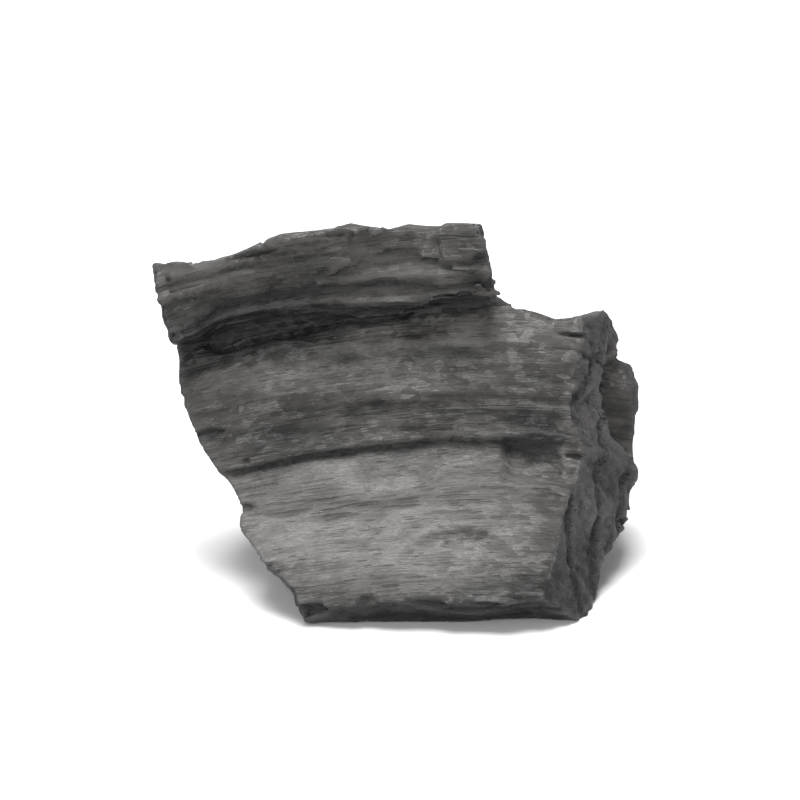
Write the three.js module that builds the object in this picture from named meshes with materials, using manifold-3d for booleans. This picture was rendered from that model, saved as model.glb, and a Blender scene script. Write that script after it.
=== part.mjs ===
// A lump of oak charcoal: one brittle piece of charred wood, about 35 mm wide, standing on a small flat foot.
// Frame: millimetres, +X to the right, +Y to the back, +Z up. The origin is on the surface that the lump
// stands on, under the middle of its box. The fibres run from left to right in a low arch.
// It is cut the way it broke: a billet split along the growth rings, snapped across the fibres at its ends,
// with flakes knocked off its back and a corner off its top, and a few drying checks that opened in the fire.
import * as THREE from "three";
import { mergeVertices } from "three/addons/utils/BufferGeometryUtils.js";
import { ImprovedNoise } from "three/addons/math/ImprovedNoise.js";
import { TessellateModifier } from "three/addons/modifiers/TessellateModifier.js";
import Module from "manifold-3d";

const wasm = await Module();
wasm.setup();

// Driving dimensions.
const WIDTH = 34.5; // left to right
const DEPTH = 24; // front lip to the bulge of the back
const HEIGHT = 24.9; // foot to the highest point
const FOOT_FRONT = 10.4; // the foot's front edge is this far in front of the middle
const ARCH_TOP = 6; // the fibres' low arch is highest this far right of the middle
const ARCH_BEND = 0.007; // drop of the arch per square millimetre of distance from there
const ARCH_STEPS = 40; // straight stretches that stand for the arch along a whole block
const FACE_VIEW = THREE.MathUtils.degToRad(20); // the outline is drawn looking down by this much
const SURFACE_STEP = 3.2; // longest edge of the finished surface
const WAVE = 0.42; // how far the broken faces swell in and out of flat
const WAVE_LENGTH = 6.5; // distance between two swells
const BLOCK = 120; // a cutting block, larger than the lump in every direction

// The profile of the billet across the fibres, as [back, up] from the middle of the foot, at the top of
// the arch: two layers of growth rings slope up from the front lip, with a low step between them, and a
// third, thick layer stands above them behind a ledge that leans out over its own foot.
const PROFILE = [
  [-FOOT_FRONT, -4],
  [-FOOT_FRONT + 0.2, -0.6],
  [-12, 2.4], // front lip
  [-7.6, 6.5],
  [-2.4, 10.8], // end of the first layer
  [-2.7, 11.4], // its low step
  [-0.4, 15.4],
  [2.6, 19.7], // foot of the ledge
  [0.6, 21.3], // the ledge's lower edge
  [1.0, 24.6],
  [2.2, 30],
  [9.0, 30],
  [11.4, 18.5],
  [12, 9.2], // the back's bulge
  [10.1, 2.2],
  [8.6, -4],
];

// The outline of the lump as [right, up], drawn on a plane that leans back by FACE_VIEW.
const OUTLINE = [
  [-6.2, -1.6],
  [-7.9, 2.5],
  [-11.3, 6.7],
  [-11.1, 8.9],
  [-13.8, 12.3],
  [-15.7, 17.1],
  [-16.5, 21.1],
  [-17.3, 26.2], // upper left corner
  [-12.0, 27.1],
  [-8.3, 28.5],
  [-3.2, 29.1],
  [5.6, 29.0], // the top, as far as the missing corner
  [6.2, 25.6],
  [8.1, 23.0],
  [11.4, 22.1], // floor of the missing corner
  [13.7, 22.6],
  [15.2, 23.2], // upper right tip
  [16.8, 20.1],
  [17.2, 17.8],
  [16.9, 7.4],
  [14.2, 4.2], // the right end draws in above the foot
  [13.9, 1.2],
  [13.2, -1.6],
];

// Flakes knocked off by flat breaks: each takes away what lies beyond a plane through a point.
const BREAKS = [
  { side: "right end, front", through: [10.9, -5, 11], facing: [0.78, -0.53, 0.31] },
  { side: "right end, back", through: [17.2, 5, 12], facing: [0.86, 0.5, 0.1] },
  { side: "back, right", through: [9.5, 9.9, 14], facing: [0.45, 0.82, 0.34] },
  { side: "back, left", through: [-8.6, 10.4, 12], facing: [-0.4, 0.91, 0.1] },
  { side: "left end, back", through: [-15.3, 4.4, 15], facing: [-0.8, 0.56, -0.2] },
  { side: "back, top", through: [-3, 9.2, 23.4], facing: [-0.16, 0.6, 0.78] },
  { side: "underside, front", through: [2, -11.4, 1.9], facing: [0.05, -0.82, -0.57] },
  { side: "underside, left", through: [-5.0, 3, 0.6], facing: [-0.5, 0.22, -0.84] },
  { side: "underside, back", through: [2, 6.4, 0.6], facing: [0.14, 0.42, -0.9] },
  { side: "underside, right", through: [9.8, 3, 0.7], facing: [0.5, 0.3, -0.81] },
];

// Drying checks: thin lens-shaped splits, each with a middle, a direction along its mouth, a direction
// into the wood, and its length, width and depth.
const CHECKS = [
  { middle: [15.2, 3.0, 12.5], along: [0.1, 0.35, 1], into: [-1, -0.3, 0.2], size: [11, 0.9, 4.2] },
  { middle: [14.4, -1.2, 17.0], along: [0.2, 0.9, 0.5], into: [-1, 0.1, 0.1], size: [7, 0.7, 3.0] },
  { middle: [-2.0, 10.8, 17.0], along: [1, -0.05, 0.16], into: [0.1, -1, -0.15], size: [15, 0.9, 3.4] },
  { middle: [3.5, 11.6, 10.0], along: [1, 0.02, 0.1], into: [0, -1, 0.1], size: [11, 0.8, 2.8] },
];

// A surface as a solid that can be cut and joined. Only its positions count, with shared vertices merged.
function solidOf(geometry) {
  const bare = geometry.clone();
  bare.deleteAttribute("normal");
  bare.deleteAttribute("uv");
  const merged = mergeVertices(bare, 1e-4);
  return new wasm.Manifold(
    new wasm.Mesh({
      numProp: 3,
      vertProperties: merged.attributes.position.array,
      triVerts: new Uint32Array(merged.index.array),
    }),
  );
}

// A solid's surface, to be moved and shown.
function geometryOf(solid) {
  const mesh = solid.getMesh();
  const geometry = new THREE.BufferGeometry();
  geometry.setAttribute("position", new THREE.BufferAttribute(mesh.vertProperties, 3));
  geometry.setIndex(new THREE.BufferAttribute(mesh.triVerts, 1));
  return geometry;
}

// A closed prism: the points' polygon, drawn on the first two directions, drawn out along the third.
function prism(points, [acrossDirection, upDirection, alongDirection], steps = 1) {
  const shape = new THREE.Shape(points.map(([x, y]) => new THREE.Vector2(x, y)));
  const geometry = new THREE.ExtrudeGeometry(shape, { depth: BLOCK, steps, bevelEnabled: false });
  geometry.translate(0, 0, -BLOCK / 2);
  return geometry.applyMatrix4(
    new THREE.Matrix4().makeBasis(acrossDirection, upDirection, alongDirection),
  );
}

// The geometry bent to the arch of the fibres: every point drops with the square of its distance from
// the arch's top.
function arched(geometry) {
  const place = geometry.attributes.position;
  for (let i = 0; i < place.count; i += 1) {
    const away = place.getX(i) - ARCH_TOP;
    place.setZ(i, place.getZ(i) - ARCH_BEND * away * away);
  }
  return geometry;
}

// A matrix whose Z points along facing, at a point.
function facingFrom(point, facing) {
  const turn = new THREE.Quaternion().setFromUnitVectors(
    new THREE.Vector3(0, 0, 1),
    new THREE.Vector3(...facing).normalize(),
  );
  return new THREE.Matrix4().compose(new THREE.Vector3(...point), turn, new THREE.Vector3(1, 1, 1));
}

// The block of space beyond a break.
function blockBeyond({ through, facing }) {
  const block = new THREE.BoxGeometry(BLOCK, BLOCK, BLOCK).translate(0, 0, BLOCK / 2);
  return block.applyMatrix4(facingFrom(through, facing));
}

// The space inside a drying check: a ball squashed to a lens.
function checkSpace({ middle, along, into, size }) {
  const mouth = new THREE.Vector3(...along).normalize();
  const depth = new THREE.Vector3(...into).addScaledVector(mouth, -mouth.dot(new THREE.Vector3(...into)));
  depth.normalize();
  const across = new THREE.Vector3().crossVectors(mouth, depth);
  const lens = new THREE.SphereGeometry(1, 10, 6).scale(size[0] / 2, size[2], size[1] / 2);
  const placed = new THREE.Matrix4().makeBasis(mouth, depth, across).setPosition(...middle);
  return lens.applyMatrix4(placed);
}

// The billet in the rough: the profile drawn out along the fibres, inside the outline drawn out front to back.
function billet() {
  const right = new THREE.Vector3(1, 0, 0);
  const back = new THREE.Vector3(0, 1, 0);
  const up = new THREE.Vector3(0, 0, 1);
  const layers = solidOf(arched(prism(PROFILE, [back, up, right], ARCH_STEPS)));

  const leaningUp = new THREE.Vector3(0, Math.sin(FACE_VIEW), Math.cos(FACE_VIEW));
  const towardsFront = new THREE.Vector3(0, -Math.cos(FACE_VIEW), Math.sin(FACE_VIEW));
  const silhouette = prism(OUTLINE, [right, leaningUp, towardsFront]).translate(0, -FOOT_FRONT, 0);
  return layers.intersect(solidOf(silhouette));
}

// Breaks and checks, taken from the billet one after another.
function broken(rough) {
  const spaces = [...BREAKS.map(blockBeyond), ...CHECKS.map(checkSpace)];
  return spaces.reduce((lump, space) => lump.subtract(solidOf(space)), rough);
}

// Every broken face swells gently: each point moves by a smooth noise of its place, the same in both
// faces at an edge, so the surface stays closed and its edges stay sharp.
function swollen(lump) {
  const fine = new TessellateModifier(SURFACE_STEP, 12).modify(geometryOf(lump));
  const merged = mergeVertices(fine, 1e-4);
  const noise = new ImprovedNoise();
  const place = merged.attributes.position;
  const point = new THREE.Vector3();
  for (let i = 0; i < place.count; i += 1) {
    point.fromBufferAttribute(place, i);
    const [x, y, z] = point.clone().divideScalar(WAVE_LENGTH).toArray();
    const moveX = noise.noise(x, y, z);
    const moveY = noise.noise(x + 31.4, y + 7.7, z + 3.3);
    const moveZ = noise.noise(x + 5.9, y + 61.2, z + 17.1);
    place.setXYZ(
      i,
      point.x + 2 * WAVE * moveX,
      point.y + 2 * WAVE * moveY,
      point.z + 2 * WAVE * moveZ,
    );
  }
  return solidOf(merged);
}

// The foot is ground flat where the lump stands, and the finished box is brought to the driving sizes.
function stood(lump) {
  const floor = solidOf(blockBeyond({ through: [0, 0, 0], facing: [0, 0, -1] }));
  const geometry = geometryOf(lump.subtract(floor));
  geometry.computeBoundingBox();
  const size = geometry.boundingBox.getSize(new THREE.Vector3());
  const middle = geometry.boundingBox.getCenter(new THREE.Vector3());
  geometry.translate(-middle.x, -middle.y, 0);
  geometry.scale(WIDTH / size.x, DEPTH / size.y, HEIGHT / size.z);
  return geometry;
}

const charcoal = new THREE.MeshStandardMaterial({ color: 0x3b3937, roughness: 0.62, metalness: 0 });

const lump = new THREE.Mesh(stood(swollen(broken(billet()))), charcoal);
lump.name = "charcoal_lump";

const group = new THREE.Group();
group.add(lump);

export default group;
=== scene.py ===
# %% [markdown]
# # A lump of oak charcoal
#
# Charcoal is wood that was heated without air until only its carbon was left. It keeps the whole build of
# the wood: the fibres, the yearly rings, the rays and the pores can all still be seen, in black. It is
# brittle, so a lump is shaped by the way it broke, and every side of it shows another kind of break.
#
# This lesson grows such a lump from a plain solid of the right size. It goes in five steps: the plain solid
# is turned into a field of distances, the wood's own directions are worked out, the breaks and cracks are
# cut into the field, the field is turned back into a surface, and that surface gets its finish and light.
#
# All sizes in the script are millimetres, because that is how a small thing is thought of. Only the finished
# mesh is brought to Blender's metres.

# %% The frame
import math

import bpy
import numpy as np
import openvdb
from mathutils import Matrix, Vector


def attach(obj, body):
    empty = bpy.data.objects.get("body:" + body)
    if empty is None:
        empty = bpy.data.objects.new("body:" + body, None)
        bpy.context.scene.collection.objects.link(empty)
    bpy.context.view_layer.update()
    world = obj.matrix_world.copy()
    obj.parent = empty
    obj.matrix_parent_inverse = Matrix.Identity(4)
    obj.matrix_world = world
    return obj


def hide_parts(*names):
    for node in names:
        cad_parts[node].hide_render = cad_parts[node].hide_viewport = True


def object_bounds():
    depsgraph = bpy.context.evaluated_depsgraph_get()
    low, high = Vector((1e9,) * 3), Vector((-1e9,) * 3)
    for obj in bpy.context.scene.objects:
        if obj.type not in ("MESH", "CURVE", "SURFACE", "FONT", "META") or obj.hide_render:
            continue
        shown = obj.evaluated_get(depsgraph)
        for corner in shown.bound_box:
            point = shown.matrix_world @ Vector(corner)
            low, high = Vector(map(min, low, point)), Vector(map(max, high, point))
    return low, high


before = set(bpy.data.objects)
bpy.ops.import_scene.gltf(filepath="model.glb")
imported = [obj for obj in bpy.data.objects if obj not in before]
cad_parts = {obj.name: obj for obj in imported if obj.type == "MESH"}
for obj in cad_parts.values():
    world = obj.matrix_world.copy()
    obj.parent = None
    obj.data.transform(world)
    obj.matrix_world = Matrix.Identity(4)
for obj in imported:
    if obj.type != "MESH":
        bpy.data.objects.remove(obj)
cad_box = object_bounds()
NODE = "charcoal_lump"
MM = 0.001
print("the plain solid's box:", [list(corner) for corner in cad_box])

# %% [markdown]
# ## The camera
#
# The camera comes first, because it settles how fine the surface has to be. It stands straight in front and
# looks down by about twenty degrees, with a long lens from some way off, so that the lump isn't stretched.

# %% Camera
LOOK_DOWN = math.radians(20)
LENS = 120
SENSOR = 36
FILL = 0.62  # the share of the picture's width that the lump takes

low, high = (np.array(corner) for corner in cad_box)
middle = (low + high) / 2
width = high[0] - low[0]
distance = width / FILL * LENS / SENSOR
toward_camera = np.array([0, -math.cos(LOOK_DOWN), math.sin(LOOK_DOWN)])

camera_data = bpy.data.cameras.new("camera")
camera_data.lens = LENS
camera_data.sensor_width = SENSOR
camera_data.clip_start = 0.01
camera = bpy.data.objects.new("camera", camera_data)
camera.location = Vector(middle + toward_camera * distance)
camera.rotation_euler = (math.pi / 2 - LOOK_DOWN, 0, 0)
bpy.context.scene.collection.objects.link(camera)
bpy.context.scene.camera = camera
print("camera stands", round(distance, 3), "m from the lump's middle")

# %% [markdown]
# ## A field of distances
#
# The surface of a broken lump folds over on itself: a ledge leans out over the face below it, and cracks run
# in and never come out. A sheet worked out on two parameters can't do that without tearing, so the shape is
# held as a field instead. The space round the lump is filled with small cubes, called voxels, and each one
# holds its distance to the surface, negative inside the wood. Anything that can be said about a place in
# the wood, such as "here runs a crack", is then one sum on a whole array, and the surface is found again
# wherever the sum is zero.
#
# The plain solid comes as loose triangles, so its double corners are merged first.

# %% Plain solid to distances
VOXEL = 0.15
BAND = 2.6  # distances are kept this far from the surface on both sides
MARGIN = 6  # empty voxels left round the lump


def merged_solid(node):
    """The node's corners in millimetres, each only once, and its triangles."""
    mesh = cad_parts[node].data
    corners = np.empty(len(mesh.vertices) * 3, np.float32)
    mesh.vertices.foreach_get("co", corners)
    corners = corners.reshape(-1, 3) / MM
    loops = np.empty(len(mesh.loops), np.int32)
    mesh.loops.foreach_get("vertex_index", loops)
    rounded = np.round(corners, 4)
    once, same = np.unique(rounded, axis=0, return_inverse=True)
    return once.astype(np.float32), same.reshape(-1)[loops].reshape(-1, 3).astype(np.uint32)


corners, triangles = merged_solid(NODE)
spacing = openvdb.createLinearTransform(voxelSize=VOXEL)
band_voxels = BAND / VOXEL
plain = openvdb.FloatGrid.createLevelSetFromPolygons(
    corners, triangles=triangles, transform=spacing, halfWidth=band_voxels
)
first_voxel = np.floor(corners.min(0) / VOXEL).astype(int) - MARGIN
last_voxel = np.ceil(corners.max(0) / VOXEL).astype(int) + MARGIN
depth = np.empty(last_voxel - first_voxel + 1, np.float32)
plain.copyToArray(depth, ijk=tuple(int(i) for i in first_voxel))
print("voxels:", depth.shape, "inside:", round(float((depth < 0).mean()), 3))

# %% [markdown]
# Only the voxels near the surface matter. Their places are taken out of the block once, as three long lists
# of numbers, and every later step works on those lists.

# %% Places near the surface
near = np.flatnonzero(np.abs(depth.ravel()) < BAND * 0.98)
ix, iy, iz = np.unravel_index(near, depth.shape)
x = ((ix + first_voxel[0]) * VOXEL).astype(np.float32)
y = ((iy + first_voxel[1]) * VOXEL).astype(np.float32)
z = ((iz + first_voxel[2]) * VOXEL).astype(np.float32)
start = depth.ravel()[near]
print("voxels near the surface:", len(near))

# %% [markdown]
# ## The wood's own directions
#
# Wood has three directions: along the fibres, across the yearly rings, and round the rings. Everything that
# happens to charcoal follows them. Here the fibres run from left to right in a low arch, and the tree's
# middle, the pith, lies a few centimetres behind the lump. So each place gets three wood measures: how far
# along the fibres it is, how far from the pith, and how far round it.

# %% Wood measures
ARCH_TOP = 6  # the arch of the fibres is highest here
ARCH_BEND = 0.007  # and drops by this much per square millimetre
PITH_BACK = 27
PITH_UP = -15
MIDDLE_OUT = 38  # a middling distance from the pith, for turning angles into millimetres
RING = 2.3  # width of one yearly ring


def wood_measures(x, y, z):
    """Along the fibres, distance from the pith, and distance round it. The arch is flattened first by
    adding its drop back to the height; then distance is the length and the turn is the angle of the arrow
    from the pith, and the angle times a middling distance gives millimetres."""
    flat = z + ARCH_BEND * (x - ARCH_TOP) ** 2
    back = PITH_BACK - y
    up = flat - PITH_UP
    out = np.hypot(back, up)
    round_it = np.arctan2(up, back) * MIDDLE_OUT
    return x, out, round_it


along, out, turn = wood_measures(x, y, z)
print("rings met by the lump:", int((out.max() - out.min()) / RING))

# %% [markdown]
# ## Smooth noise
#
# Nothing in nature is even, so nearly every rule below gets a little smooth noise. Gradient noise is a
# random slope at each corner of a lattice, blended between the corners. Stretching its lattice along the
# fibres makes streaks, and that one trick gives wood most of its look.

# %% Noise
LATTICE = 4096  # the lattice's random slopes repeat after so many corners, a power of two
WRAP = LATTICE - 1  # keeping only these bits of a whole number brings it below LATTICE
NOISE_GAIN = 1.6  # brings the noise to about -1 to 1


def noise(a, b, c, seed):
    """Gradient noise of three measures, about -1 to 1. Each lattice corner has a random slope, found by
    shuffling its three whole numbers. A place takes the slopes of the eight corners round it, each times
    the way from that corner, blended with the curve 6t^5 - 15t^4 + 10t^3."""
    shuffle = np.random.default_rng(seed)
    order = shuffle.permutation(LATTICE).astype(np.int32)
    slopes = shuffle.normal(size=(LATTICE, 3)).astype(np.float32)
    slopes /= np.linalg.norm(slopes, axis=1, keepdims=True)
    cells = [np.floor(v).astype(np.int32) for v in (a, b, c)]
    parts = [np.asarray(v - cell, np.float32) for v, cell in zip((a, b, c), cells)]
    blends = [t * t * t * (t * (t * 6 - 15) + 10) for t in parts]
    total = np.zeros(len(parts[0]), np.float32)
    for da in (0, 1):
        first = order[(cells[0] + da) & WRAP]
        share_a = blends[0] if da else 1 - blends[0]
        for db in (0, 1):
            second = order[(first + cells[1] + db) & WRAP]
            share_b = share_a * (blends[1] if db else 1 - blends[1])
            for dc in (0, 1):
                corner = order[(second + cells[2] + dc) & WRAP]
                way = slopes[corner, 0] * (parts[0] - da)
                way += slopes[corner, 1] * (parts[1] - db)
                way += slopes[corner, 2] * (parts[2] - dc)
                total += way * share_b * (blends[2] if dc else 1 - blends[2])
    return total * NOISE_GAIN


def chance(a, b, c, seed):
    """A random number from 0 to 1 for each whole-number place, the same whenever it is asked for."""
    shuffle = np.random.default_rng(seed)
    order = shuffle.permutation(LATTICE).astype(np.int32)
    values = shuffle.random(LATTICE).astype(np.float32)
    mixed = order[a.astype(np.int32) & WRAP]
    mixed = order[(mixed + b.astype(np.int32)) & WRAP]
    return values[(mixed + c.astype(np.int32)) & WRAP]


def smooth(low, high, value):
    """0 at low, 1 at high, and the curve 3t^2 - 2t^3 between. With low above high it falls instead."""
    t = np.clip((value - low) / (high - low), 0, 1)
    return t * t * (3 - 2 * t)


# %% [markdown]
# ## Which way each face looks
#
# A face that looks along the fibres is a snapped end, rough and full of pores. A face that looks across
# them is a split side, smooth and silky. And a side that looks straight out from the pith has split along
# one yearly ring, so no rings can cross it. The slope of the distance field says which is which.

# %% End faces and ring faces
def facing_wood(slopes, y, z, x):
    """How squarely a face looks along the fibres and out from the pith, each 0 to 1: the slope of the
    distances is an arrow straight out of the face, and its share along each wood direction is taken."""
    long_way = np.sqrt(sum(slope**2 for slope in slopes)) + 1e-6
    flat = z + ARCH_BEND * (x - ARCH_TOP) ** 2
    back = PITH_BACK - y
    up = flat - PITH_UP
    outward = (up * slopes[2] - back * slopes[1]) / np.hypot(back, up)
    return np.abs(slopes[0]) / long_way, np.abs(outward) / long_way


slopes = [np.gradient(depth, VOXEL, axis=axis) for axis in range(3)]
along_share, out_share = facing_wood([slope.ravel()[near] for slope in slopes], y, z, x)
turn_share = np.sqrt(np.clip(1 - along_share**2 - out_share**2, 0, 1))
end_face = smooth(0.45, 0.85, along_share)
ring_face = smooth(0.86, 0.97, out_share)
print("share of end faces:", round(float(end_face.mean()), 3))
print("share of ring faces:", round(float(ring_face.mean()), 3))

# %% [markdown]
# ## Flakes
#
# When something brittle is knocked, flakes fly off and leave shallow scoops that meet in sharp ridges. Each
# flake is taken here as a slice off a large ball that dips a little into a face. In wood the ball is drawn
# out along the fibres, because a flake runs further that way before it lets go. No flake goes deeper than a
# fraction of a millimetre. The faces at the front parted cleanly, along a ring or in one snap, and stay
# whole, and so do the three sharp corners of the outline and the thin shoulder behind the right one.

# %% Flakes
FLAKES = 100
DRAWN_OUT = 0.42  # lengths along the fibres count for this much in a flake
DEEPEST_FLAKE = 0.55
FLAKE_REACH = 1.2  # a flake ends a little beyond the edge that its ball alone would have
FOOT_FRONT = 10.4  # the foot's front edge is this far in front of the middle
CORNERS = [(-17.2, 25.6), (5.8, 28.4), (15.6, 22.6), (14.0, 24.4)]  # right and up, seen from the camera
random_flakes = np.random.default_rng(61)


def seen_up(y, z):
    """How far up a place is on a plane through the foot's front edge that squarely faces the camera: the
    way back times the sine of the camera's tilt, plus the height times its cosine."""
    return (y + FOOT_FRONT) * math.sin(LOOK_DOWN) + z * math.cos(LOOK_DOWN)


# sharp is 1 at the outline's corners, and to_front is how squarely a face looks at the camera.
sharp = np.zeros(len(near), np.float32)
for right, up in CORNERS:
    sharp = np.maximum(sharp, smooth(3.4, 1.6, np.hypot(x - right, seen_up(y, z) - up)))
near_slopes = np.stack([slope.ravel()[near] for slope in slopes])
to_front = toward_camera @ near_slopes / np.linalg.norm(near_slopes, axis=0)
skin = np.flatnonzero((np.abs(start) < 0.5 * VOXEL) & (z > 1.0) & (to_front < 0.25))
balls = np.full(len(near), -BAND, np.float32)
for spot in random_flakes.choice(skin, FLAKES):
    ball = random_flakes.uniform(4, 11)
    dip = random_flakes.uniform(0.15, 0.6)
    reach = FLAKE_REACH * math.sqrt(2 * ball * dip)
    away = near_slopes[:, spot] * (1 / DRAWN_OUT, 1, 1) + random_flakes.normal(0, 0.12, 3)
    away *= (ball - dip) / np.linalg.norm(away)
    close = np.flatnonzero(np.abs(x - x[spot]) < reach / DRAWN_OUT)
    gap = np.stack([(x[close] - x[spot]) * DRAWN_OUT, y[close] - y[spot], z[close] - z[spot]])
    in_ball = ball - np.linalg.norm(gap - away[:, None], axis=0)
    in_reach = reach - np.linalg.norm(gap, axis=0)
    balls[close] = np.maximum(balls[close], np.minimum(in_ball, in_reach))
balls -= 2 * np.maximum(smooth(0.25, 0.5, to_front), sharp)
start = np.maximum(start, np.minimum(balls, start + DEEPEST_FLAKE))
print("voxels in flakes:", int((balls > 0).sum()))

# %% [markdown]
# ## Splinters
#
# Wood breaks in blocks: along a ring, along a ray, and across the fibres. Each block is a few rings thick at
# most, and much longer than it is wide. Giving every block its own small step back from the surface turns
# a smooth side into shingled slivers, and a smooth end into a stepped, woody snap. The blocks' ends are
# jagged, because each fibre in them snaps where it likes.

# %% Splinters
def splinters(thick, wide, long, seed):
    """A random number for each block of wood. The ring number comes from the distance out; the place
    round the ring and along the fibres is then cut at random points that differ from ring to ring."""
    wobble = noise(along / 6, out / 2.2, turn / 2.2, seed)
    jagged = noise(along / 2.5, out / 0.45, turn / 0.45, seed + 4)
    layer = np.floor(out / thick + 0.45 * wobble)
    strip = np.floor(turn / wide + 7 * chance(layer, layer, layer, seed + 1) + 0.5 * wobble)
    cut_at = along / long + 9 * chance(layer, strip, layer, seed + 2) + 0.4 * wobble + 0.22 * jagged
    piece = np.floor(cut_at)
    lean = cut_at - piece
    return chance(layer, strip, piece, seed + 3), lean


coarse, coarse_lean = splinters(thick=1.9, wide=3.4, long=11.0, seed=11)
fine, fine_lean = splinters(thick=0.7, wide=0.9, long=5.0, seed=23)
step_back = 0.34 * coarse**2 * (0.4 + 0.6 * coarse_lean) + 0.20 * fine**3 * (0.3 + 0.7 * fine_lean)
step_back *= (1 - 0.35 * end_face) * (1 - 0.6 * ring_face)
print("splinters step back by up to", round(float(step_back.max()), 2), "mm")

# %% [markdown]
# ## Facets, rings and fibres
#
# Three kinds of relief lie over the splinters. A break runs in gently curved facets that meet in sharp
# ridges: noise with its sign taken away does just that. The wood laid down in spring is full of holes and
# burns away a little deeper than the dense summer wood, so each ring is a low groove and a low rib. And
# the fibres themselves are fine ridges, drawn out along the wood. Below the low step the wood parted more
# cleanly than above it, so all but the facets is weaker there.

# %% Relief
LOW_STEP = 27.4  # how far round the rings the front face's low step is
LEDGE = 36.4  # and the foot of its ledge
SPRING_WOOD = 0.14  # how far into each ring the middle of its soft spring wood lies
SWELL = 0.06  # the whole surface is let out by this much, so that the relief wears it down to size


def ring_places(along, out, turn):
    """How many rings out from the pith a place is, with the rings a little uneven as in any tree."""
    return out / RING + 0.28 * noise(along / 16, turn / 7, turn * 0, 33)


facets = 0.24 * np.abs(noise(along / 9, out / 3.4, turn / 3.4, 31))
facets += 0.16 * np.abs(noise(along / 3.5, out / 1.4, turn / 1.4, 32))
facets *= 1 - 0.7 * sharp

ring_place = ring_places(along, out, turn)
in_ring = ring_place - np.floor(ring_place)
groove = np.exp(-(((in_ring - SPRING_WOOD) / 0.12) ** 2)) * (1 - ring_face)
ring_relief = (0.10 + 0.16 * end_face) * groove

fibres = 0.085 * noise(along / 6, out / 0.42, turn / 0.42, 34)
fibres += 0.12 * noise(along / 11, out / 1.1, turn / 1.1, 35)
grit = end_face * 0.09 * noise(x / 0.6, y / 0.6, z / 0.6, 36)

# clean is 1 where the wood parted well, and front is 1 on the front faces, which hold no cracks.
clean = smooth(0.1, -0.15, noise(along / 14, out / 6, turn / 6, 37) + (turn - LOW_STEP) / 18)
front = smooth(0.45, 0.7, to_front) * np.maximum(smooth(LEDGE, LEDGE - 1.5, turn), smooth(1, 3, x))
removed = facets + (1 - 0.55 * clean) * (step_back + ring_relief + fibres) + grit - SWELL
print("relief goes from", round(float(removed.min()), 2), "to", round(float(removed.max()), 2), "mm")

# %% [markdown]
# Three things on the front are no work of chance. Under the ledge's left half the wood has crumbled away, so
# that the ledge throws a deeper shadow there. Below the low step, to the right, a short block of a few rings
# has dropped out and left a square pit. And there the low step itself dies away, so its corner is filled.

# %% Undercut, pit and the end of the step
def block(middle, half, soft):
    """1 inside a box in wood measures and 0 outside, falling off over soft at its walls."""
    ways = [np.abs(v - m) - h for v, m, h in zip((along, out, turn), middle, half)]
    return smooth(soft, -soft, np.maximum.reduce(ways) + 0.5 * soft * frayed)


frayed = noise(along / 2.2, out / 0.8, turn / 0.8, 40)
undercut = smooth(-2, -8, x) * smooth(-14.5, -12, x) * smooth(LEDGE - 2.6, LEDGE - 0.8, turn)
undercut *= smooth(LEDGE + 0.8, LEDGE, turn) * (y < 5)
pit = block(middle=(9.2, 42, LOW_STEP - 1.9), half=(1.9, 9, 1.4), soft=0.5) * (y < 4)
step_end = smooth(3, 7, x) * np.exp(-(((turn - LOW_STEP + 0.3) / 0.7) ** 2)) * (y < 4)
removed += 0.6 * undercut + 0.35 * pit - 0.4 * step_end
print("voxels in the pit:", int((pit > 0.5).sum()))

# %% [markdown]
# ## Cracks
#
# Wood shrinks by a third as it chars, and it shrinks more round the rings than across them, so it opens in
# cracks along the rays. Others follow the weak spring wood of a ring, and a few short ones cross the
# fibres. A crack is a thin curved sheet: it is widest at the surface and closes to nothing inside. It opens
# only where it meets a face squarely, because a crack just under a face would have shed that face already.

# %% Cracks
THINNEST_CRACK = 0.7 * VOXEL  # half width under which the voxels can't hold a crack
LIP = 0.2  # how far a crack's lips are worn back


def crack(sheet, mask, mouth, reach):
    """The space a crack leaves, as distances: mouth is its half width at the surface, and it narrows
    evenly until it closes at a depth of reach. sheet is the distance to the crack's sheet. Torn fibres
    fray its walls, and where it is too thin for the voxels it is left out."""
    half_width = mouth * np.clip(mask * (1 + 0.3 * frayed) + start / reach, 0, 1)
    return np.where(half_width > THINNEST_CRACK, half_width - np.abs(sheet + 0.06 * frayed), -BAND)


def worn_lips(sheet, mask, depth_of_wear):
    """The lips of a crack crumble into a shallow groove, a little wider than the crack: the wear falls off
    as a bell curve of the distance to the crack's sheet."""
    return depth_of_wear * mask * np.exp(-((sheet / LIP) ** 2))


# %% Cracks along the rays
RAY_GAP = 4.4  # one sheet in each such width of wood
ray_wander = turn + 0.55 * noise(along / 7, out / 4, out * 0, 41)
ray_wander += 0.12 * noise(along / 1.5, out, out * 0, 48)
ray = np.floor(ray_wander / RAY_GAP)
ray_sheet = ray_wander - (ray + 0.25 + 0.5 * chance(ray, ray, ray, 42)) * RAY_GAP
ray_mask = smooth(0.05, 0.55, noise(along / 8, ray * 3.7, out / 8, 43)) * (1 - 0.95 * clean) * (1 - front)
ray_mask *= smooth(0.9, 0.6, turn_share) * (1 - sharp)
cut = crack(ray_sheet, ray_mask, mouth=0.25, reach=2.4)
worn = worn_lips(ray_sheet, ray_mask, depth_of_wear=0.22)
print("voxels inside cracks along the rays:", int((cut > 0).sum()))

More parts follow.
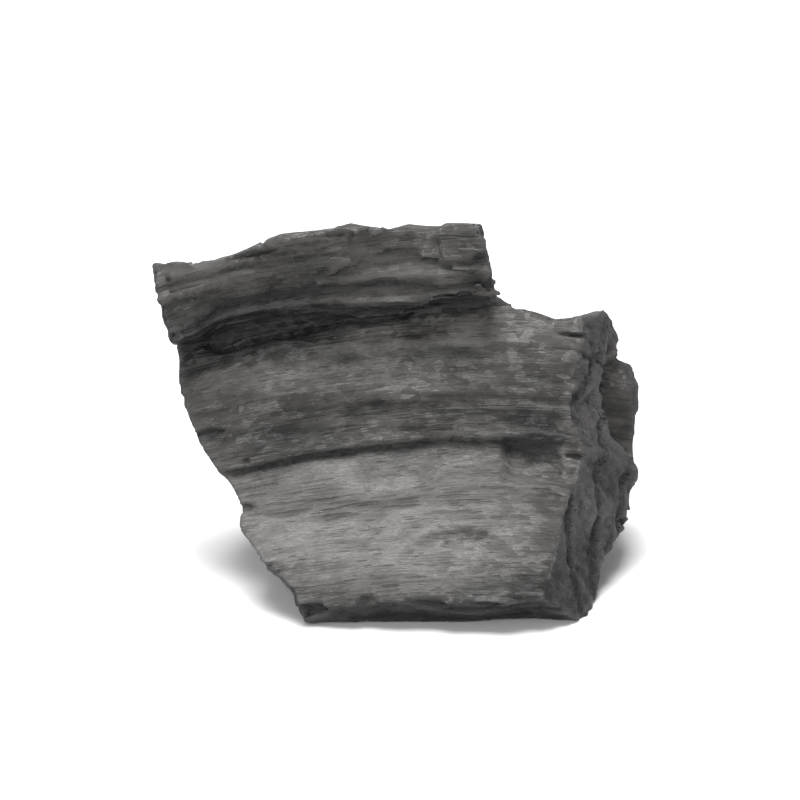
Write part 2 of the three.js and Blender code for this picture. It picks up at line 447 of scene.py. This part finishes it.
# %% Cracks along the rings
shake_sheet = (in_ring - SPRING_WOOD) * RING
shake_mask = smooth(0.15, 0.5, noise(along / 8, turn / 5, np.floor(ring_place) * 3.3, 44))
shake_mask *= smooth(0.85, 0.55, out_share) * (1 - front) * (1 - 0.6 * end_face) * (1 - sharp)
cut = np.maximum(cut, crack(shake_sheet, shake_mask, mouth=0.2, reach=1.7))
worn = np.maximum(worn, worn_lips(shake_sheet, shake_mask, depth_of_wear=0.18))
print("and with those along the rings:", int((cut > 0).sum()))

# %% Cracks across the fibres
CROSS_GAP = 6.3  # one sheet in each such length of wood
cross = np.floor(along / CROSS_GAP + 0.25 * noise(along / 3, out / 2, turn / 2, 45))
cross_sheet = along - (cross + 0.5) * CROSS_GAP - 1.2 * noise(out / 3.1, turn / 3.1, cross * 2.9, 46)
cross_mask = smooth(0.25, 0.5, noise(out / 2.4, turn / 2.4, cross * 5.1, 47)) * (1 - end_face) * (1 - front)
cut = np.maximum(cut, crack(cross_sheet, cross_mask, mouth=0.14, reach=1.0))
worn = np.maximum(worn, worn_lips(cross_sheet, cross_mask, depth_of_wear=0.12))
print("and with those across the fibres:", int((cut > 0).sum()))

# %% [markdown]
# ## Chipped edges
#
# A sharp edge never lasts on something so brittle. The mean distance in a little cube round each place
# shows where the edges are: on a flat face it is zero, and on an outer edge there is more air than wood.
# Splinters are then knocked off at places picked there by chance, each one long along the fibres and
# running out to nothing at its ends.

# %% Edges
def blurred(field, reach):
    """The mean over a cube that reaches so many voxels each way: the difference of two running sums
    along each axis in turn."""
    span = 2 * reach + 1
    for axis in range(3):
        edges = [(0, 0)] * 3
        edges[axis] = (reach + 1, reach)
        sums = np.cumsum(np.pad(field, edges, mode="edge"), axis=axis, dtype=np.float32)
        size = field.shape[axis]
        upper = np.take(sums, np.arange(span, span + size), axis=axis)
        lower = np.take(sums, np.arange(0, size), axis=axis)
        field = (upper - lower) / span
    return field


edginess = blurred(np.clip(depth, -1.2, 1.2), round(0.9 / VOXEL)).ravel()[near]
on_edge = np.flatnonzero((np.abs(start) < 0.7 * VOXEL) & (edginess > 0.16) & (z > 0.8) & (sharp < 0.1))
print("edge voxels:", len(on_edge))

# %% Chips
CHIPS = 90
random_chips = np.random.default_rng(71)
chipped = np.full(len(near), -BAND, np.float32)
for spot in random_chips.choice(on_edge, CHIPS):
    long = random_chips.uniform(0.5, 2.4)
    deep, wide = random_chips.uniform(0.15, 0.45, 2)
    twist = random_chips.uniform(-0.25, 0.25)
    close = np.flatnonzero(np.abs(along - along[spot]) < long + 0.4)
    da = np.abs(along[close] - along[spot])
    dr = out[close] - out[spot]
    dt = turn[close] - turn[spot]
    thinning = np.clip(1 - (da / long) ** 2, -0.5, 1) + 0.3 * frayed[close]
    box = np.maximum(np.abs(dr + twist * dt) - deep * thinning, np.abs(dt - twist * dr) - wide * thinning)
    chipped[close] = np.maximum(chipped[close], np.where(thinning > 0.1, -box, -BAND))
cut = np.maximum(cut, chipped)
print("voxels chipped away:", int((chipped > 0).sum()))

# %% [markdown]
# ## Back to a surface
#
# The relief is added to the distances, the cracks are cut out, and the floor takes what would hang below
# the foot. What is left too thin falls off: where the mean distance round a place is well into the air, there
# is only a thread or a spike. Two places are kept whole, with no more than a faint relief: the right end of
# the ledge, and a wall at the right end of the lump that a deep split has left thin, where a window would be
# worn through the wood. The library then walks through the field and lays four-cornered faces along the zero
# line.

# %% Field to mesh
THINNEST = 0.20  # where the mean distance round a place is more than this, there is too little wood
KEPT_WHOLE = [(13.5, 3.5, 16.3), (4.2, 0.8, 23.6)]  # the thin wall and the ledge's end
ELSEWHERE = 3  # away from those places the limit lies this much deeper, where it never counts


def carved():
    """The plain distances, plus the relief, less the cracks, less what is thin, less whatever lies under
    the floor. Going back is adding to a distance, cutting away is keeping the larger of two distances, and
    filling up to a limit is keeping the smaller."""
    field = depth.copy()
    flat = field.ravel()
    limit = flat[near] + ELSEWHERE + 0.5 * (facets + fibres) - 0.1
    for place in KEPT_WHOLE:
        away = np.sqrt(sum((v - m) ** 2 for v, m in zip((x, y, z), place))) + 0.9 * frayed
        limit -= ELSEWHERE * smooth(2.8, 1.5, away)
    flat[near] = np.minimum(np.maximum(start + removed + worn, cut), limit)
    thin = blurred(np.clip(field, -0.5, 0.5), round(0.45 / VOXEL)) - THINNEST
    field = np.maximum(field, 2 * thin)
    heights = (np.arange(field.shape[2]) + first_voxel[2]) * VOXEL
    return np.maximum(field, -heights[None, None, :].astype(np.float32))


field = carved()
result = openvdb.FloatGrid(BAND)
result.transform = spacing
result.copyFromArray(field, ijk=tuple(int(i) for i in first_voxel), tolerance=0)
points, quads = result.convertToQuads(0)
print("points:", len(points), "quads:", len(quads))


# %% [markdown]
# Cracks that meet can cut a crumb loose, and a real crumb would fall off. So the faces are sorted into
# connected pieces and only the largest is kept.

# %% The largest piece only
def largest_piece(points, quads):
    """Every point starts with its own number, and takes the lowest number among its neighbours until
    nothing changes any more. Points that end with the same number hang together."""
    label = np.arange(len(points))
    pairs = np.concatenate([quads[:, [0, 1]], quads[:, [1, 2]], quads[:, [2, 3]], quads[:, [3, 0]]])
    while True:
        before = label.copy()
        lowest = np.minimum(label[pairs[:, 0]], label[pairs[:, 1]])
        np.minimum.at(label, pairs[:, 0], lowest)
        np.minimum.at(label, pairs[:, 1], lowest)
        label = label[label]
        if np.array_equal(before, label):
            break
    names, counts = np.unique(label, return_counts=True)
    keep = label == names[counts.argmax()]
    renumber = np.cumsum(keep) - 1
    kept_quads = quads[keep[quads[:, 0]]]
    return points[keep], renumber[kept_quads]


points, quads = largest_piece(points, quads.astype(np.int64))
points[:, 2] = np.where(points[:, 2] < 0.6 * VOXEL, 0, points[:, 2])
print("kept points:", len(points), "quads:", len(quads))

# %% [markdown]
# ## Fewer faces where there is less to show
#
# The cubes give the same small faces everywhere. Collapsing edges where the surface is nearly flat leaves
# a mesh that is lighter and keeps its detail in the cracks and edges. The mesh is still in millimetres
# here, because the collapsing works poorly on very small numbers.

# %% Mesh
MOST_TRIANGLES = 194000


def mesh_from(name, points, quads):
    """A smooth-shaded mesh from whole arrays."""
    mesh = bpy.data.meshes.new(name)
    mesh.vertices.add(len(points))
    mesh.vertices.foreach_set("co", points.astype(np.float32).ravel())
    mesh.loops.add(quads.size)
    mesh.loops.foreach_set("vertex_index", quads.astype(np.int32).ravel())
    mesh.polygons.add(len(quads))
    mesh.polygons.foreach_set("loop_start", np.arange(0, quads.size, 4, dtype=np.int32))
    mesh.update(calc_edges=True)
    mesh.validate()
    return mesh


lump = bpy.data.objects.new("charcoal", mesh_from("charcoal", points, quads))
bpy.context.scene.collection.objects.link(lump)

thinner = lump.modifiers.new("fewer_faces", "DECIMATE")
thinner.ratio = min(1.0, MOST_TRIANGLES / (2 * len(quads)))
thinner.use_collapse_triangulate = True
thinned = bpy.data.meshes.new_from_object(lump.evaluated_get(bpy.context.evaluated_depsgraph_get()))
lump.modifiers.clear()
lump.data = thinned
thinned.polygons.foreach_set("use_smooth", np.ones(len(thinned.polygons), bool))
print("triangles:", len(thinned.polygons))

# %% [markdown]
# ## What the finish has to know
#
# Some of the finish depends on the shape and can't be seen from a place alone: hollows get painted shade
# and are duller, ridges are rubbed, and broken ends are duller than split sides. Such facts are worked out
# once for each corner of the mesh and stored with it as attributes, and the material reads them by name.

# %% Attributes
def sampled(field, places):
    """The field's value at each place: the eight voxels round it, each weighted by nearness."""
    grid_place = places / VOXEL - first_voxel
    corner = np.floor(grid_place).astype(int)
    part = grid_place - corner
    total = np.zeros(len(places))
    for offset in np.ndindex(2, 2, 2):
        weight = np.prod(np.where(offset, part, 1 - part), axis=1)
        i, j, k = (corner + offset).T
        total += weight * field[i, j, k]
    return total


def store(mesh, name, values):
    """One number for each corner of the mesh, kept under a name."""
    attribute = mesh.attributes.new(name, "FLOAT", "POINT")
    attribute.data.foreach_set("value", values.astype(np.float32))
    print(name, "from", round(float(values.min()), 2), "to", round(float(values.max()), 2))


places = np.empty(len(thinned.vertices) * 3)
thinned.vertices.foreach_get("co", places)
places = places.reshape(-1, 3)
place_along, place_out, place_turn = wood_measures(*places.T)

near_air = sampled(blurred(np.clip(field, -0.6, 0.6), round(0.4 / VOXEL)), places)
wide_air = sampled(blurred(np.clip(field, -1.5, 1.5), round(1.3 / VOXEL)), places)
place_slopes = [sampled(slope, places) for slope in slopes]
place_end, _ = facing_wood(place_slopes, places[:, 1], places[:, 2], places[:, 0])

# hollow and deep darken the colour as painted shade; hollow also makes the surface duller
store(thinned, "hollow", np.clip(-near_air / 0.12, 0, 1))
store(thinned, "ridge", np.clip(near_air / 0.12, 0, 1))
store(thinned, "deep", np.clip(-wide_air / 0.35, 0, 1))
store(thinned, "end_face", smooth(0.45, 0.85, place_end))
normals = np.empty(len(thinned.vertices) * 3, np.float32)
thinned.vertices.foreach_get("normal", normals)
broad_up = place_slopes[2] / np.sqrt(sum(slope**2 for slope in place_slopes))
store(thinned, "upward", 0.7 * broad_up + 0.3 * normals.reshape(-1, 3)[:, 2])
store(thinned, "ring", ring_places(place_along, place_out, place_turn))

# %% [markdown]
# Some places on the front are painted lighter and some darker, patch by patch. Each patch is given by its
# middle, as right and up seen from the camera, its half length and half height, and how much lighter or
# darker it makes the wood. The lighter patches are painted highlights; the darker ones are painted shade
# along the low step and in the pit, and darker spots on the top and middle bands. A pale film, which is ash
# and also painted sheen where faces look up, covers most of the lowest face and thins out towards its rim.
# Painted shade also lies under the ledge, and along the lower edge, where it reaches higher to the right.

# %% Patches
# painted light, patch by patch: plus is a painted highlight, minus is darker, mostly painted shade
PAINTED_LIGHT_PATCHES = [
    (-13.6, 24.2, 2.8, 1.1, 0.6),
    (0.7, 24.4, 3.4, 0.9, 0.45),
    (-6.0, 23.8, 2.2, 1.5, -0.6),
    (4.9, 25.0, 1.0, 1.8, -0.5),
    (-1.5, 19.5, 2.2, 1.3, 0.6),
    (4.8, 20.0, 1.6, 0.8, 0.7),
    (1.4, 18.8, 1.4, 1.0, -0.5),
    (-9.8, 16.9, 5.0, 1.1, 0.4),
    (10.0, 17.2, 2.6, 1.6, -0.35),
    (9.2, 12.7, 2.1, 1.9, -1.0),
    (-9.0, 12.7, 4.5, 0.9, -0.7),
    (0.6, 11.2, 3.0, 0.8, -0.4),
    (13.4, 7.2, 0.7, 1.0, 0.6),
]
place_x, place_y, place_z = places.T
facing = normals.reshape(-1, 3) @ toward_camera
place_up = seen_up(place_y, place_z)
ragged = noise(place_x / 3, place_up / 0.8, place_y * 0, 51)
ragged += 0.6 * noise(place_x / 1, place_up / 0.4, place_y * 0, 52)
painted_light_tone = np.zeros(len(places))
for right, up, half_right, half_up, strength in PAINTED_LIGHT_PATCHES:
    away = np.hypot((place_x - right) / half_right, (place_up - up) / half_up)
    painted_light_tone += strength * smooth(1.5, 0.5, away + 0.5 * ragged)
painted_light_tone *= smooth(0, 0.4, facing)
store(thinned, "painted_highlight", np.clip(painted_light_tone, 0, 1))

# %% Pale film of ash and painted sheen, and painted shade
# painted shade under the ledge's left half, where the ledge throws its shadow
painted_shade_under_ledge = smooth(-1, -9, place_x) * smooth(LEDGE - 4.6, LEDGE - 2.2, place_turn + 0.5 * ragged)
painted_shade_under_ledge *= smooth(LEDGE + 0.8, LEDGE - 0.2, place_turn) * (place_y < 4)
# a pale film on most of the lowest face: ash, and also painted sheen, as this face looks up to the light
ash_bloom_and_painted_sheen = smooth(1.6, 0.3, np.hypot((place_x + 1.5) / 11, (place_up - 6.5) / 6) + 0.15 * ragged)
ash_bloom_and_painted_sheen *= smooth(LOW_STEP + 0.8, LOW_STEP - 1.2, place_turn)
store(thinned, "ash_bloom_and_painted_sheen", 0.22 + 0.78 * ash_bloom_and_painted_sheen)
# painted shade along the lower edge, reaching higher to the right
edge_up = 2.0 + 0.24 * np.maximum(place_x, 0) + 0.5 * ragged
painted_shade_on_lower_edge = smooth(1.4, -1.4, place_up - edge_up) * smooth(-0.2, 0.3, facing)
store(thinned, "painted_shade", np.clip(np.maximum(np.maximum(-painted_light_tone, 0.9 * painted_shade_under_ledge), 0.85 * painted_shade_on_lower_edge), 0, 1))
thinned.transform(Matrix.Scale(MM, 4))  # all that is worked out in millimetres is done

# %% [markdown]
# ## The finish
#
# Charcoal is nearly black, but not evenly so. Split sides have a silky grey gloss, drawn out along the
# fibres, like the gloss of pencil lead. Broken ends are dull and full of pores, and spring wood is duller
# than summer wood. The material works in the wood's own directions, so first a small group of nodes turns
# a place into the same three measures as before.

# %% Helpers for nodes
def node(tree, kind, inputs=None, **settings):
    """Adds a node. Each input is a value, or another node's socket to link it to."""
    made = tree.nodes.new("ShaderNode" + kind)
    for name, value in settings.items():
        setattr(made, name, value)
    for name, value in (inputs or {}).items():
        if isinstance(value, bpy.types.NodeSocket):
            tree.links.new(value, made.inputs[name])
        else:
            made.inputs[name].default_value = value
    return made


def maths(tree, operation, *values):
    """One sum on one, two or three values or sockets."""
    return node(tree, "Math", dict(enumerate(values)), operation=operation).outputs[0]


def span(tree, value, low, high, start=0.0, end=1.0):
    """The value's place between low and high, softly, laid out again between start and end."""
    inputs = {"Value": value, "From Min": low, "From Max": high, "To Min": start, "To Max": end}
    return node(tree, "MapRange", inputs, interpolation_type="SMOOTHSTEP").outputs["Result"]


def blend(tree, share, first, second):
    """A mix of two colours: the first where share is 0, and the second where it is 1."""
    inputs = {"Factor": share, "A": first, "B": second}
    made = node(tree, "Mix", None, data_type="RGBA")
    for name, value in inputs.items():
        socket = [s for s in made.inputs if s.name == name and s.type in ("RGBA", "VALUE") and s.enabled][-1]
        if isinstance(value, bpy.types.NodeSocket):
            tree.links.new(value, socket)
        else:
            socket.default_value = value
    return [s for s in made.outputs if s.enabled][0]


def grey(value, warmth=0.0):
    """A grey, pushed a little towards brown by warmth."""
    return (value * (1 + warmth), value, value * (1 - warmth), 1)


# %% Wood directions as a group of nodes
wood = bpy.data.node_groups.new("wood_measures", "ShaderNodeTree")
wood.interface.new_socket("Place", in_out="INPUT", socket_type="NodeSocketVector")
wood.interface.new_socket("Wood", in_out="OUTPUT", socket_type="NodeSocketVector")
wood_in = wood.nodes.new("NodeGroupInput")
wood_out = wood.nodes.new("NodeGroupOutput")
in_mm = node(wood, "VectorMath", {0: wood_in.outputs["Place"]}, operation="SCALE")
in_mm.inputs["Scale"].default_value = 1 / MM
split = node(wood, "SeparateXYZ", {0: in_mm.outputs[0]}).outputs
from_top = maths(wood, "SUBTRACT", split["X"], ARCH_TOP)
drop = maths(wood, "MULTIPLY", maths(wood, "MULTIPLY", from_top, from_top), ARCH_BEND)
up = maths(wood, "SUBTRACT", maths(wood, "ADD", split["Z"], drop), PITH_UP)
back = maths(wood, "SUBTRACT", PITH_BACK, split["Y"])
squares = maths(wood, "ADD", maths(wood, "MULTIPLY", up, up), maths(wood, "MULTIPLY", back, back))
out_socket = maths(wood, "SQRT", squares)
turn_socket = maths(wood, "MULTIPLY", maths(wood, "ARCTAN2", up, back), MIDDLE_OUT)
joined = node(wood, "CombineXYZ", {"X": split["X"], "Y": out_socket, "Z": turn_socket})
wood.links.new(joined.outputs[0], wood_out.inputs["Wood"])

# %% [markdown]
# Streaks, fibres and pores are noises and cells that are stretched along the first of the three measures.
# They are made first, because colour, gloss and relief all draw on them.

# %% Patterns in the wood
charcoal = bpy.data.materials.new("charcoal")
charcoal.use_nodes = True
tree = charcoal.node_tree
shader = tree.nodes["Principled BSDF"]
place = node(tree, "TexCoord").outputs["Object"]
measures = node(tree, "Group", node_tree=wood)
tree.links.new(place, measures.inputs["Place"])
wood_place = measures.outputs["Wood"]


def stretched(along_scale, across_scale):
    """Wood places scaled for a pattern: few repeats along the fibres and many across them."""
    scales = {0: wood_place, 1: (along_scale, across_scale, across_scale)}
    return node(tree, "VectorMath", scales, operation="MULTIPLY").outputs[0]


def noise_texture(vector, detail, roughness=0.6):
    """Smooth noise, 0 to 1: layers of it, each twice as fine as the last and roughness times as strong."""
    inputs = {"Vector": vector, "Scale": 1.0, "Detail": detail, "Roughness": roughness}
    return node(tree, "TexNoise", inputs).outputs["Fac"]


def fact(name):
    """One of the facts that are stored with the mesh, read by its name."""
    return node(tree, "Attribute", attribute_name=name).outputs["Fac"]


facts = map(fact, ("hollow", "ridge", "deep", "end_face", "ring", "upward", "ash_bloom_and_painted_sheen", "painted_highlight", "painted_shade"))
hollow, ridge, deep, end_socket, ring_socket, upward, ash_bloom_and_painted_sheen, painted_highlight, painted_shade = facts
streaks = noise_texture(stretched(0.10, 1.3), 5, 0.65)
threads = noise_texture(stretched(0.35, 6.5), 3, 0.6)
blotches = noise_texture(stretched(0.16, 0.22), 2, 0.5)
specks = noise_texture(stretched(3.2, 3.2), 2, 0.7)

pore_inputs = {"Vector": stretched(0.30, 4.2), "Scale": 1.0, "Randomness": 1.0}
pores = node(tree, "TexVoronoi", pore_inputs, feature="F1").outputs["Distance"]
ring_part = maths(tree, "FRACT", ring_socket)
spring = span(tree, maths(tree, "ABSOLUTE", maths(tree, "SUBTRACT", ring_part, 0.16)), 0.22, 0.06)
pore_size = maths(tree, "MULTIPLY_ADD", spring, 0.20, 0.10)
pore = span(tree, maths(tree, "SUBTRACT", pores, pore_size), 0.10, -0.02)
vessel_inputs = {"Vector": stretched(0.11, 2.2), "Scale": 1.0, "Randomness": 1.0}
vessels = node(tree, "TexVoronoi", vessel_inputs, feature="F1").outputs["Distance"]
vessel_size = maths(tree, "MULTIPLY", span(tree, spring, 0.3, 0.9), 0.36)
vessel = span(tree, maths(tree, "SUBTRACT", vessels, vessel_size), 0.04, -0.06)
vessel = maths(tree, "MULTIPLY", vessel, maths(tree, "MULTIPLY_ADD", end_socket, 0.55, 0.35))
vessel = maths(tree, "MULTIPLY", vessel, maths(tree, "SUBTRACT", 1.0, maths(tree, "MULTIPLY", ash_bloom_and_painted_sheen, 0.6)))
print("the patterns take", len(tree.nodes), "nodes")

# %% [markdown]
# The colour is built up in coats, as a painter would. The bare char comes first, darker and lighter in
# streaks. Over it goes the pale film, which is ash and also painted sheen on faces that look up, with painted
# highlights on the front, then the dull ends, painted shade on faces that look down, and painted shade under
# the ledge, along the lower edge and in darker patches. The rubbed ridges, the open vessels and pores,
# painted shade in hollows and a little dust come last.

# %% Colour
lightness = maths(tree, "MULTIPLY_ADD", streaks, 0.55, maths(tree, "MULTIPLY", threads, 0.25))
lightness = maths(tree, "MULTIPLY_ADD", blotches, 0.45, lightness)
lightness = span(tree, lightness, 0.42, 0.86)
colour = blend(tree, lightness, grey(0.017, 0.07), grey(0.083, 0.055))
# the pale film is ash and also painted light: it is paler on faces that look up
ash_and_painted_light = span(tree, maths(tree, "MULTIPLY_ADD", blotches, 0.5, upward), 0.5, 1.1)
ash_and_painted_light = maths(tree, "MULTIPLY", maths(tree, "MULTIPLY", ash_and_painted_light, ash_bloom_and_painted_sheen), 0.85)
# the painted highlights on the front are added to the pale film
ash_and_painted_light = maths(tree, "MULTIPLY_ADD", maths(tree, "MULTIPLY", painted_highlight, streaks), 1.3, ash_and_painted_light)
ash_and_painted_light = maths(tree, "MINIMUM", ash_and_painted_light, 0.9)
colour = blend(tree, ash_and_painted_light, colour, grey(0.146, 0.035))
colour = blend(tree, maths(tree, "MULTIPLY", spring, 0.3), colour, grey(0.022, 0.07))
colour = blend(tree, maths(tree, "MULTIPLY", end_socket, 0.5), colour, (0.031, 0.0275, 0.033, 1))
# painted shade on faces that look down
colour = blend(tree, span(tree, upward, -0.1, -0.6, 0, 0.8), colour, grey(0.018))
# painted shade: the darker patches, under the ledge and along the lower edge
colour = blend(tree, maths(tree, "MULTIPLY", painted_shade, 0.85), colour, grey(0.009, 0.04))
colour = blend(tree, maths(tree, "MULTIPLY", ridge, 0.3), colour, grey(0.13, 0.01))
colour = blend(tree, vessel, colour, grey(0.008))
pore_share = maths(tree, "MULTIPLY", pore, maths(tree, "MULTIPLY_ADD", end_socket, 0.55, 0.3))
colour = blend(tree, pore_share, colour, grey(0.010))
# painted shade in hollows and in deeper places
colour = blend(tree, maths(tree, "MULTIPLY", hollow, 0.8), colour, grey(0.014))
colour = blend(tree, maths(tree, "MULTIPLY", deep, 0.6), colour, grey(0.016))
dust = maths(tree, "MULTIPLY", span(tree, specks, 0.66, 0.76), 0.25)
colour = blend(tree, dust, colour, grey(0.22, 0.02))
grain = noise_texture(stretched(5.5, 5.5), 3, 0.75)
grain_share = maths(tree, "MULTIPLY", span(tree, grain, 0.5, 0.66), maths(tree, "MULTIPLY", end_socket, 0.55))
colour = blend(tree, grain_share, colour, (0.072, 0.068, 0.071, 1))
tree.links.new(colour, shader.inputs["Base Color"])
print("with the colour there are", len(tree.nodes))

# %% [markdown]
# The gloss follows the streaks: the lighter, denser wood is smoother. Ends, hollows and spring wood are
# duller. Charcoal is porous, so it throws back less light at its surface than a solid would.

# %% Gloss
shader.inputs["Specular IOR Level"].default_value = 0.3
gloss = maths(tree, "MULTIPLY_ADD", streaks, -0.35, 0.56)
gloss = maths(tree, "MULTIPLY_ADD", end_socket, 0.18, gloss)
gloss = maths(tree, "MULTIPLY_ADD", hollow, 0.2, gloss)
gloss = maths(tree, "MULTIPLY_ADD", spring, 0.1, gloss)
tree.links.new(gloss, shader.inputs["Roughness"])
print("with the gloss there are", len(tree.nodes))

# %% [markdown]
# What is too small for the mesh is left to a bump: fibres, pores, grains on the ends, and small shards that
# each lean their own way and glint one after another. Under the pale film of ash and painted sheen the shards
# fade, as ash would fill the steps between them.


# %% Fine relief
def shards(along_scale, across_scale):
    """Small flat facets, each leaning its own way. A cell's own random colour is taken as a slope, and the
    height is that slope times the way from the cell's middle."""
    vector = stretched(along_scale, across_scale)
    cells = node(tree, "TexVoronoi", {"Vector": vector, "Scale": 1.0}, feature="F1").outputs
    way = node(tree, "VectorMath", {0: vector, 1: cells["Position"]}, operation="SUBTRACT").outputs[0]
    lean = node(tree, "VectorMath", {0: cells["Color"], 1: (0.5, 0.5, 0.5)}, operation="SUBTRACT").outputs[0]
    return node(tree, "VectorMath", {0: way, 1: lean}, operation="DOT_PRODUCT").outputs["Value"]


pore_relief = maths(tree, "MULTIPLY", pore, maths(tree, "MULTIPLY_ADD", end_socket, -2.0, -0.5))
pore_relief = maths(tree, "MULTIPLY_ADD", vessel, -1.6, pore_relief)
relief = maths(tree, "MULTIPLY_ADD", threads, 0.9, pore_relief)
relief = maths(tree, "MULTIPLY_ADD", specks, maths(tree, "MULTIPLY", end_socket, 1.6), relief)
relief = maths(tree, "MULTIPLY_ADD", grain, maths(tree, "MULTIPLY", end_socket, 1.4), relief)
relief = maths(tree, "MULTIPLY_ADD", spring, maths(tree, "MULTIPLY", end_socket, -0.8), relief)
broken = maths(tree, "SUBTRACT", 1.0, maths(tree, "MULTIPLY", ash_bloom_and_painted_sheen, ash_and_painted_light))
small_shards = maths(tree, "MULTIPLY", shards(1.6, 2.9), 2.2)
shard_relief = maths(tree, "MULTIPLY_ADD", shards(0.5, 1.1), 5.0, small_shards)
relief = maths(tree, "MULTIPLY_ADD", shard_relief, broken, relief)
fine_relief = node(tree, "Bump", {"Height": relief, "Strength": 0.9, "Distance": 0.12 * MM})
tree.links.new(fine_relief.outputs["Normal"], shader.inputs["Normal"])
lump.data.materials.append(charcoal)
print("charcoal has", len(tree.nodes), "nodes in all")

# %% [markdown]
# ## Floor and light
#
# Something nearly black needs broad, soft light, or nothing of its relief is seen. A large soft lamp hangs
# straight over the lump, so that its own shade falls under the ledge and round the foot. A weaker lamp in
# front, to the left, and a pale sky all round fill that shade.

# %% Floor and light
HALF_FLOOR = 2  # metres
sides = [(-1, -1), (1, -1), (1, 1), (-1, 1)]
floor_corners = [(right * HALF_FLOOR, back * HALF_FLOOR, 0) for right, back in sides]
floor_mesh = bpy.data.meshes.new("floor")
floor_mesh.from_pydata(floor_corners, [], [(0, 1, 2, 3)])
floor = bpy.data.objects.new("floor", floor_mesh)
bpy.context.scene.collection.objects.link(floor)
pale = bpy.data.materials.new("pale_floor")
pale.use_nodes = True
pale.node_tree.nodes["Principled BSDF"].inputs["Base Color"].default_value = (0.86, 0.86, 0.86, 1)
pale.node_tree.nodes["Principled BSDF"].inputs["Roughness"].default_value = 0.9
floor_mesh.materials.append(pale)


def softbox(name, place, aim, size, power):
    """A square soft light at a place, turned to look at aim."""
    light = bpy.data.lights.new(name, "AREA")
    light.shape = "SQUARE"
    light.size = size
    light.energy = power
    lamp = bpy.data.objects.new(name, light)
    lamp.location = place
    lamp.rotation_euler = (Vector(aim) - Vector(place)).to_track_quat("-Z", "Y").to_euler()
    bpy.context.scene.collection.objects.link(lamp)
    return lamp


aim = Vector(middle)
softbox("key_light", (-0.12, 0.03, 1.45), aim, 0.75, 30)
softbox("side_light", (-0.5, -1.2, 0.8), aim, 0.6, 7)

world = bpy.data.worlds.new("studio")
world.use_nodes = True
world.node_tree.nodes["Background"].inputs["Color"].default_value = (1, 1, 1, 1)
world.node_tree.nodes["Background"].inputs["Strength"].default_value = 0.42
bpy.context.scene.world = world
bpy.context.scene.view_settings.view_transform = "Standard"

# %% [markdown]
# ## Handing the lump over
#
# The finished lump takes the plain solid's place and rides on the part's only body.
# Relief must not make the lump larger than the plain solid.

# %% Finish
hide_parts(NODE)
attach(lump, "root")
